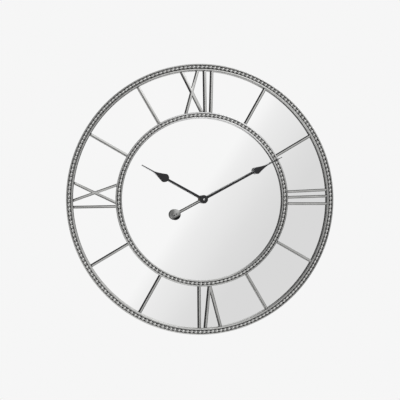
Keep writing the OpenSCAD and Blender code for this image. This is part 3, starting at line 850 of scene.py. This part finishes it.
@dataclass
class HourMarks:
    """The raised numerals and batons between the two rings."""

    ring_r: float
    frame_in_r: float
    base: float
    width: float = 8.0 * MM
    crown_r: float = 11.0 * MM
    crown_steps: int = 8
    run: float = 25.0 * MM
    end_row: float = 3.0 * MM
    edge_mm: float = 0.5
    top: float = field(init=False)
    marks: tuple[HourMark, ...] = (
        HourMark("numeral_twelve", 12, ((-2, -63), (-48, -14), (8, 7), (25, 29))),
        HourMark("numeral_three", 3, ((-21, -26), (-4, -7), (15, 16))),
        HourMark("numeral_six", 6, ((-19, -50), (-17, -4), (14, 14))),
        HourMark("numeral_nine", 9, ((-8, 51), (42, -1), (-19, -20))),
        HourMark("baton_one", 1), HourMark("baton_two", 2), HourMark("baton_four", 4),
        HourMark("baton_five", 5), HourMark("baton_seven", 7), HourMark("baton_eight", 8),
        HourMark("baton_ten", 10), HourMark("baton_eleven", 11))

    def __post_init__(self) -> None:
        """Read the strokes' height from a baton."""
        self.top = -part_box("baton_one")[0].y

    def section(self) -> list[Corner]:
        """Section of a stroke: straight flanks and a crowned face.

        Returns:
            Offset and height above the wall of each corner.
        """
        half = self.width / 2
        swing = math.degrees(math.asin(half / self.crown_r))
        crown = arc((0.0, self.top - self.crown_r), self.crown_r, 90 + swing, 90 - swing,
                    self.crown_steps)
        return [(-half, self.base), *crown, (half, self.base), (-half, self.base)]

    def build_stroke(self, mark: HourMark, t_in: float, t_out: float) -> Piece:
        """Extrude one stroke past both rings and cut it to them.

        Args:
            mark: the numeral that the stroke belongs to.
            t_in: how far its inner end lies beside the hour line, in millimetres.
            t_out: how far its outer end lies beside the hour line, in millimetres.

        Returns:
            The stroke.
        """
        turn = math.radians(HOUR_DEGREES * mark.hour)
        outward = Vector((math.sin(turn), 0, math.cos(turn)))
        beside = Vector((math.cos(turn), 0, -math.sin(turn)))
        inner = outward * self.ring_r + beside * t_in * MM
        outer = outward * self.frame_in_r + beside * t_out * MM
        along = (outer - inner).normalized()
        across = Vector((along.z, 0, -along.x))
        start = inner - along * self.run
        piece = trace(mark.node + "_stroke", [start + across * x - Vector((0, height, 0))
                                              for x, height in self.section()])
        bpy.ops.mesh.edge_face_add()
        length = (outer - inner).length + 2 * self.run
        bpy.ops.mesh.extrude_region_move(TRANSFORM_OT_translate={"value": along * length})
        cuts = ((self.frame_in_r, outer, True), (self.ring_r, inner, False))
        for radius, at, keep_inside in cuts:
            foot = at.normalized()
            bpy.ops.mesh.select_all(action="SELECT")
            bpy.ops.mesh.bisect(plane_co=foot * radius, plane_no=foot, use_fill=True,
                                clear_outer=keep_inside, clear_inner=not keep_inside)
            # A row of edges near the end keeps the round of the end out of the long faces' shading.
            inset = self.end_row if keep_inside else -self.end_row
            bpy.ops.mesh.select_all(action="SELECT")
            bpy.ops.mesh.bisect(plane_co=foot * (radius - inset), plane_no=foot)
        close_seams()
        ease(piece, self.edge_mm)
        return piece

    def build(self, mark: HourMark) -> Piece:
        """Build the strokes of one mark and fuse them.

        Args:
            mark: the numeral or baton.

        Returns:
            The mark as one piece.
        """
        strokes = [self.build_stroke(mark, *ends) for ends in mark.strokes]
        piece = strokes[0]
        for other in strokes[1:]:
            unite(piece, other)
        piece.name = mark.node + "_bar"
        smooth(piece)
        return piece

    def dress(self) -> None:
        """Build and plate all the marks."""
        # The strokes get painted shade on flanks that face up and to the left, and painted light
        # toward the top.
        plate = AntiqueSilver(name="antique_silver_strokes", bright="#bebebc", oxide_and_shade="#202021",
                              shade_from=0.12, shade_full=0.2, painted_light_from_mm=255.0, painted_light_full_mm=405.0,
                              patch_mm=40.0).make()
        for mark in self.marks:
            settle(self.build(mark), CLOCK, SILVER_SLOT, plate, mark.node)


@dataclass
class Hand:
    """A pressed spade hand with a ridge down its middle, drawn along +X and turned to its time."""

    kind: HandKind
    clockwise: float
    length: float
    spade_at: float
    spade_r: float
    spade_l: float
    bore_r: float
    boss_r: float = 12.5 * MM
    stem_root: float = 7.0 * MM
    stem_tip: float = 5.5 * MM
    needle_root: float = 3.0 * MM
    needle_tip: float = 2.0 * MM
    flank_power: float = 1.35
    ridge: float = 0.4 * MM
    needle_ridge: float = 0.2 * MM
    ridge_gap: float = 2.0 * MM
    edge_mm: float = 0.15
    boss_steps: int = 24
    spade_steps: int = 10
    bore_steps: int = 48
    drill_l: float = 20.0 * MM
    crease_degrees: float = 20.0
    low: float = field(init=False)
    thickness: float = field(init=False)

    def __post_init__(self) -> None:
        """Read the hand's place in front of the dial from its node."""
        front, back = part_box(f"{self.kind.value}_hand")
        self.low = -back.y
        self.thickness = back.y - front.y

    def half_outline(self) -> list[Corner]:
        """Half of the outline, from behind the boss to the tip.

        Returns:
            Distance along the hand and half width of each corner.
        """
        leave = math.degrees(math.asin(self.stem_root / 2 / self.boss_r))
        meet = math.degrees(math.asin(self.stem_tip / 2 / self.spade_r))
        points = arc((0.0, 0.0), self.boss_r, 180, leave, self.boss_steps)
        points += arc((self.spade_at, 0.0), self.spade_r, 180 - meet, 90, self.spade_steps)
        root, extra = self.needle_root / 2, self.spade_r - self.needle_root / 2
        for i in range(1, self.spade_steps + 1):
            share = i / self.spade_steps
            points.append((self.spade_at + self.spade_l * share,
                           root + extra * (1 - share) ** self.flank_power))
        points.append((self.length, self.needle_tip / 2))
        return points

    def build(self) -> Piece:
        """Draw half of the hand, raise its ridge, mirror it and give it its thickness.

        Returns:
            The hand as one piece.
        """
        top = self.low + self.thickness
        hand = trace(f"{self.kind.value}_hand_pressed",
                     [Vector((x, -top, half)) for x, half in self.half_outline()])
        bpy.ops.mesh.extrude_edges_move()
        bpy.ops.transform.resize(value=(1, 1, 0), center_override=(0, -top, 0))
        ramp, needle = self.boss_r + self.ridge_gap, self.spade_at + self.spade_l
        pick(hand, lambda p: abs(p.z) < WELD and ramp < p.x < needle - WELD)
        bpy.ops.transform.translate(value=(0, -self.ridge, 0))
        pick(hand, lambda p: abs(p.z) < WELD and p.x > needle - WELD)
        bpy.ops.transform.translate(value=(0, -self.needle_ridge, 0))
        close_seams()
        modify(hand, "MIRROR", use_axis=(False, False, True), use_mirror_merge=True,
               merge_threshold=WELD)
        enter_edit(hand)
        bpy.ops.mesh.remove_doubles(threshold=WELD)
        bpy.ops.mesh.extrude_region_move(TRANSFORM_OT_translate={"value": (0, self.thickness, 0)})
        close_seams()
        self.drill(hand)
        ease(hand, self.edge_mm)
        hand.rotation_euler = (0, math.radians(self.clockwise - 90), 0)
        take_up(hand)
        bpy.ops.object.transform_apply(location=True, rotation=True, scale=True)
        smooth(hand, self.crease_degrees)
        return hand

    def drill(self, hand: Piece) -> None:
        """Bore the boss for its bush.

        Args:
            hand: the hand, still drawn along +X.
        """
        start_fresh()
        bpy.ops.mesh.primitive_cylinder_add(vertices=self.bore_steps, radius=self.bore_r,
                                            depth=self.drill_l, location=(0, -self.low, 0),
                                            rotation=(math.pi / 2, 0, 0))
        drill = bpy.context.active_object
        modify(hand, "BOOLEAN", operation="DIFFERENCE", solver="EXACT", object=drill)
        bpy.data.objects.remove(drill)


@dataclass
class HandSet:
    """Both hands, the counterweight behind the minute hand and the cap nut."""

    hour: Hand = field(default_factory=lambda: Hand(
        HandKind.HOUR, clockwise=299.2, length=208 * MM, spade_at=131 * MM, spade_r=12.5 * MM,
        spade_l=37 * MM, bore_r=3.8 * MM))
    minute: Hand = field(default_factory=lambda: Hand(
        HandKind.MINUTE, clockwise=62.4, length=269 * MM, spade_at=183 * MM, spade_r=10.5 * MM,
        spade_l=36 * MM, bore_r=2.7 * MM))
    weight_edge_mm: float = 0.2
    cap_edge_mm: float = 0.15

    def dress(self) -> None:
        """Build the hands and give them their finish."""
        # Aluminium sheet anodised black on the front: nearly black, with a satin gloss.
        blacked = Metal("black_anodised_aluminium", low="#343435", high="#3d3d3f", patch_mm=14.0,
                        roughness=0.3, grain_height_mm=0.004).make()
        # Nickel plate over a pressed blank, with painted shade on the flanks that face down and to
        # the right.
        nickel = AntiqueSilver("nickel_plate_with_painted_shade", bright="#b0b0ae", oxide_and_shade="#161617",
                               shaded_side=(0.46, 0.0, -0.89), shade_from=0.1, shade_full=0.2, patch_mm=5.0,
                               rough_bright=0.36).make()
        # Chrome over a turned nut: a small bright mirror.
        chrome = Metal("polished_chrome", low="#f0f1f2", high="#f8f9f9", patch_mm=4.0,
                       roughness=0.12, grain_height_mm=0.001).make()
        # The same sheet left bare behind and at its cut edges: pale and satin, seen in the mirror.
        bare = Metal("bare_aluminium_back", low="#e8e9ea", high="#f0f1f1", patch_mm=9.0,
                     roughness=0.2, grain_height_mm=0.004).make()
        for hand in (self.hour, self.minute):
            piece = hand.build()
            settle(piece, hand.kind.value, "gunmetal", blacked, f"{hand.kind.value}_hand")
            face_back(piece, bare)
        weight = eased_copy("counterweight", "counterweight_pressed", self.weight_edge_mm)
        settle(weight, "minute", "nickel", nickel, "counterweight")
        cap = eased_copy("cap_nut", "cap_nut_polished", self.cap_edge_mm)
        settle(cap, "minute", "chrome", chrome, "cap_nut")
        dress(blacked, "counterweight_rivets")


@dataclass
class MirrorStack:
    """The mirror and the board behind it."""

    def dress(self) -> None:
        """Give both discs their surface."""
        dress(SilveredGlass().make(), "mirror_glass")
        dress(Fibreboard().make(), "back_board")


@dataclass
class RearFittings:
    """Clips, hanger and screws on the back board."""

    edge_mm: float = 0.25

    def dress(self) -> None:
        """Zinc plate the steel pieces, with broken edges."""
        # Zinc on cold rolled sheet: pale grey with soft crystal patches.
        zinc = Metal("zinc_plated_steel", low="#a2a6a9", high="#c2c5c6", patch_mm=5.0,
                     roughness=0.38).make()
        for node in ("board_clips", "clip_screws", "hanger_bracket", "hanger_screws"):
            settle(eased_copy(node, f"{node}_zinc", self.edge_mm), CLOCK, "zinc_steel", zinc, node)


@dataclass
class Movement:
    """The quartz movement: case, wheels, motor, circuit and battery."""

    edge_mm: float = 0.3
    knob_edge_mm: float = 0.2

    def dress(self) -> None:
        """Give the movement's pieces their surfaces."""
        # Acrylonitrile case moulded in a spark eroded tool: black with a fine matt grain.
        case = Moulding("black_abs_case").make()
        for node in ("movement_case", "movement_cover"):
            shell = eased_copy(node, f"{node}_moulded", self.edge_mm)
            settle(shell, CLOCK, "black_plastic", case, node)
        # Acetal knob: dark grey and a little waxy.
        knob = Moulding("grey_acetal", low="#6a6b6c", high="#757677", roughness=0.42).make()
        grip = eased_copy("set_knob", "set_knob_moulded", self.knob_edge_mm)
        settle(grip, "setting", "grey_plastic", knob, "set_knob")
        # Natural acetal wheels: milky white, smooth from the mould.
        wheels = Moulding("natural_acetal", low="#dcdbd4", high="#e8e7e1", patch_mm=4.0,
                          roughness=0.35).make()
        dress(wheels, "hour_wheel", "reverser_wheel", "third_wheel", "second_wheel",
              "intermediate_wheel")
        # Nitrile washer: black, dull and slightly dusty.
        rubber = Moulding("nitrile_rubber", low="#232323", high="#2f2f2e", patch_mm=3.0,
                          roughness=0.85).make()
        dress(rubber, "neck_gasket")
        # Free cutting brass from the lathe: warm, bright, with fine tool marks.
        brass = Metal("turned_brass", low="#b8914a", high="#cfab63", patch_mm=3.0,
                      roughness=0.26).make()
        dress(brass, "neck_washer", "neck_nut", "center_wheel", "hour_bush", "minute_bush")
        # Sintered magnet: dark grey and slightly granular.
        magnet = Metal("sintered_magnet", low="#3a3a3c", high="#4a4a4c", patch_mm=1.0,
                       roughness=0.5).make()
        dress(magnet, "rotor")
        # Nickel iron laminate and tinned can: soft grey sheen.
        nickel_iron = Metal("nickel_iron", low="#8f9193", high="#a6a8a9", patch_mm=2.0,
                            roughness=0.42).make()
        dress(nickel_iron, "stator", "crystal")
        dress(WoundCopper().make(), "coil")
        # Glass epoxy under green solder resist: glossy, with the weave just showing.
        resist = Moulding("green_solder_resist", low="#14502c", high="#1c6438", patch_mm=1.5,
                          grain_mm=1.0, roughness=0.3).make()
        dress(resist, "circuit_board")
        dress(BatterySleeve().make(), "battery")
        # Nickel plated spring sheet: bright and smooth.
        spring = Metal("nickel_spring_sheet", low="#bdbab2", high="#cfccc5", patch_mm=3.0,
                       roughness=0.22).make()
        dress(spring, "contact_positive", "contact_negative")


@dataclass(frozen=True)
class Lamp:
    """A square soft lamp that points at the dial.

    Attributes:
        name: name of the lamp.
        place: where it hangs.
        size: width of its face.
        power: its power in watts.
        mirrored: whether the mirror and the metals show its face.
    """

    name: str
    place: tuple[float, float, float]
    size: float
    power: float
    mirrored: bool = True

    def hang(self) -> None:
        """Add the lamp to the scene."""
        data = bpy.data.lights.new(self.name, "AREA")
        data.size = self.size
        data.energy = self.power
        lamp = bpy.data.objects.new(self.name, data)
        lamp.location = self.place
        lamp.rotation_euler = Vector(self.place).to_track_quat("Z", "Y").to_euler()
        lamp.visible_glossy = self.mirrored
        bpy.context.scene.collection.objects.link(lamp)


@dataclass
class Studio:
    """Camera, pale floor, lamps and the world that metal and mirror reflect."""

    azimuth: float = -9.2
    elevation: float = 0.0
    distance: float = 2.264
    focal_px: float = 765.0
    image_px: float = 400.0
    aim: tuple[float, float, float] = (-0.0095, -0.035, -0.002)
    roll: float = -0.43
    sensor_mm: float = 36.0
    far: float = 100.0
    backdrop: str = "#f6f6f6"
    floor_z: float = -1.0
    floor_r: float = 1.3
    floor_steps: int = 96
    floor_tone: str = "#f2f2f2"
    floor_roughness: float = 0.9
    # The floor is whole up to this share of its radius, and fades from there.
    floor_whole: float = 0.45
    ambient: float = 0.75
    # The room as the mirror shows it: pale above left, greyer below right, along this direction.
    drift: tuple[float, float, float] = (0.82, 0.0, -0.57)
    tones: Tones = (
        (-0.9, "#8c8c8c"), (-0.45, "#cccccc"), (-0.1, "#ffffff"), (0.127, "#ffffff"),
        (0.139, "#f8f8f8"), (0.151, "#f3f3f3"), (0.173, "#eeeeee"), (0.198, "#e6e6e6"),
        (0.2266, "#e1e1e1"), (0.45, "#e1e1e1"), (0.62, "#545454"))
    # The unlit crescent left of the camera: sideways reach, less a share of the rise, and tone.
    unlit: Tones = (
        (-0.56, "#ffffff"), (-0.46, "#202020"), (-0.19, "#202020"), (-0.13, "#ffffff"))
    unlit_bow: float = -0.6
    lamps: tuple[Lamp, ...] = (
        Lamp("key_lamp", place=(0.6, -2.3, 1.75), size=1.8, power=8.0),
        Lamp("low_lamp", place=(-1.5, -1.8, -0.9), size=0.7, power=1.5, mirrored=False),
        Lamp("rear_lamp", place=(1.6, 2.2, 1.4), size=1.4, power=20.0))

    def build_camera(self) -> None:
        """Set the camera at the photograph's view."""
        side, rise = math.radians(self.azimuth), math.radians(self.elevation)
        back = Vector((math.sin(side) * math.cos(rise), -math.cos(side) * math.cos(rise),
                       math.sin(rise)))
        data = bpy.data.cameras.new("view")
        data.sensor_width = self.sensor_mm
        data.lens = self.focal_px / self.image_px * self.sensor_mm
        data.clip_end = self.far
        camera = bpy.data.objects.new("view", data)
        camera.location = Vector(self.aim) + back * self.distance
        level = (-back).to_track_quat("-Z", "Y")
        camera.rotation_euler = (level @ Quaternion((0, 0, 1), math.radians(self.roll))).to_euler()
        bpy.context.scene.collection.objects.link(camera)
        bpy.context.scene.camera = camera

    def build_world(self) -> None:
        """Pale backdrop for the camera, a graded room for reflections, soft light for the rest."""
        world = bpy.data.worlds.new("studio")
        world.use_nodes = True
        bpy.context.scene.world = world
        tree = world.node_tree
        way = add_node(tree, "ShaderNodeTexCoord").outputs["Generated"]
        along = add_node(tree, "ShaderNodeVectorMath", {"operation": "DOT_PRODUCT", 1: self.drift},
                         {0: way})
        axes = add_node(tree, "ShaderNodeSeparateXYZ", None, {0: way})
        rise = add_node(tree, "ShaderNodeMath", {"operation": "ABSOLUTE"}, {0: axes.outputs["Z"]})
        bowed = add_node(tree, "ShaderNodeMath", {"operation": "MULTIPLY_ADD", 1: self.unlit_bow},
                         {0: rise.outputs[0], 2: axes.outputs["X"]})
        room = mix(tree, 1.0, grade(tree, along.outputs["Value"], self.tones),
                   grade(tree, bowed.outputs[0], self.unlit), "MULTIPLY")
        rays = add_node(tree, "ShaderNodeLightPath").outputs
        soft = (self.ambient, self.ambient, self.ambient, 1.0)
        shine = mix(tree, rays["Is Glossy Ray"], soft, room)
        seen = add_node(tree, "ShaderNodeMath", {"operation": "MAXIMUM"},
                        {0: rays["Is Camera Ray"], 1: rays["Is Transmission Ray"]})
        add_node(tree, tree.nodes["Background"], None,
                 {"Color": mix(tree, seen.outputs[0], shine, self.backdrop)})

    def build_floor(self) -> None:
        """Lay a pale floor that fades out at its rim."""
        start_fresh()
        bpy.ops.mesh.primitive_circle_add(vertices=self.floor_steps, radius=self.floor_r,
                                          fill_type="NGON", location=(0, 0, self.floor_z))
        floor = bpy.context.active_object
        floor.name = "studio_floor"
        material = bpy.data.materials.new("painted_floor")
        material.use_nodes = True
        tree = material.node_tree
        place = add_node(tree, "ShaderNodeTexCoord").outputs["Object"]
        reach = add_node(tree, "ShaderNodeVectorMath", {"operation": "LENGTH"}, {0: place})
        fade = remap(tree, reach.outputs["Value"], self.floor_whole * self.floor_r, self.floor_r,
                     low=1.0, high=0.0)
        add_node(tree, tree.nodes["Principled BSDF"],
                 {"Base Color": to_linear(self.floor_tone), "Roughness": self.floor_roughness},
                 {"Alpha": fade})
        floor.data.materials.append(material)

    def build(self) -> None:
        """Set up the whole studio."""
        bpy.context.scene.view_settings.view_transform = "Standard"
        self.build_camera()
        self.build_world()
        self.build_floor()
        for lamp in self.lamps:
            lamp.hang()


def main() -> None:
    """Build every sub-assembly in order."""
    logging.basicConfig(level=logging.INFO, format="%(message)s")
    Studio().build()
    frame_ring = BeadedRing("frame", "outer_frame", "outer_bead_row", width=20 * MM,
                            outer_lip=3.5 * MM, beads=196)
    # The dial ring's lips get painted light, paler toward its top.
    dial_ring = BeadedRing("dial_ring", "inner_ring", "inner_bead_row", width=18 * MM,
                           outer_lip=4.25 * MM, beads=125, painted_light_from_mm=0.0, painted_light_full_mm=260.0)
    for ring in (frame_ring, dial_ring):
        ring.dress(ring.build_moulding(), ring.build_beads())
    skirt = FrameSkirt()
    skirt.dress(skirt.build())
    HourMarks(ring_r=dial_ring.outer_r, frame_in_r=frame_ring.outer_r - frame_ring.width,
              base=frame_ring.base).dress()
    HandSet().dress()
    MirrorStack().dress()
    RearFittings().dress()
    Movement().dress()


if __name__ == "__main__":
    main()
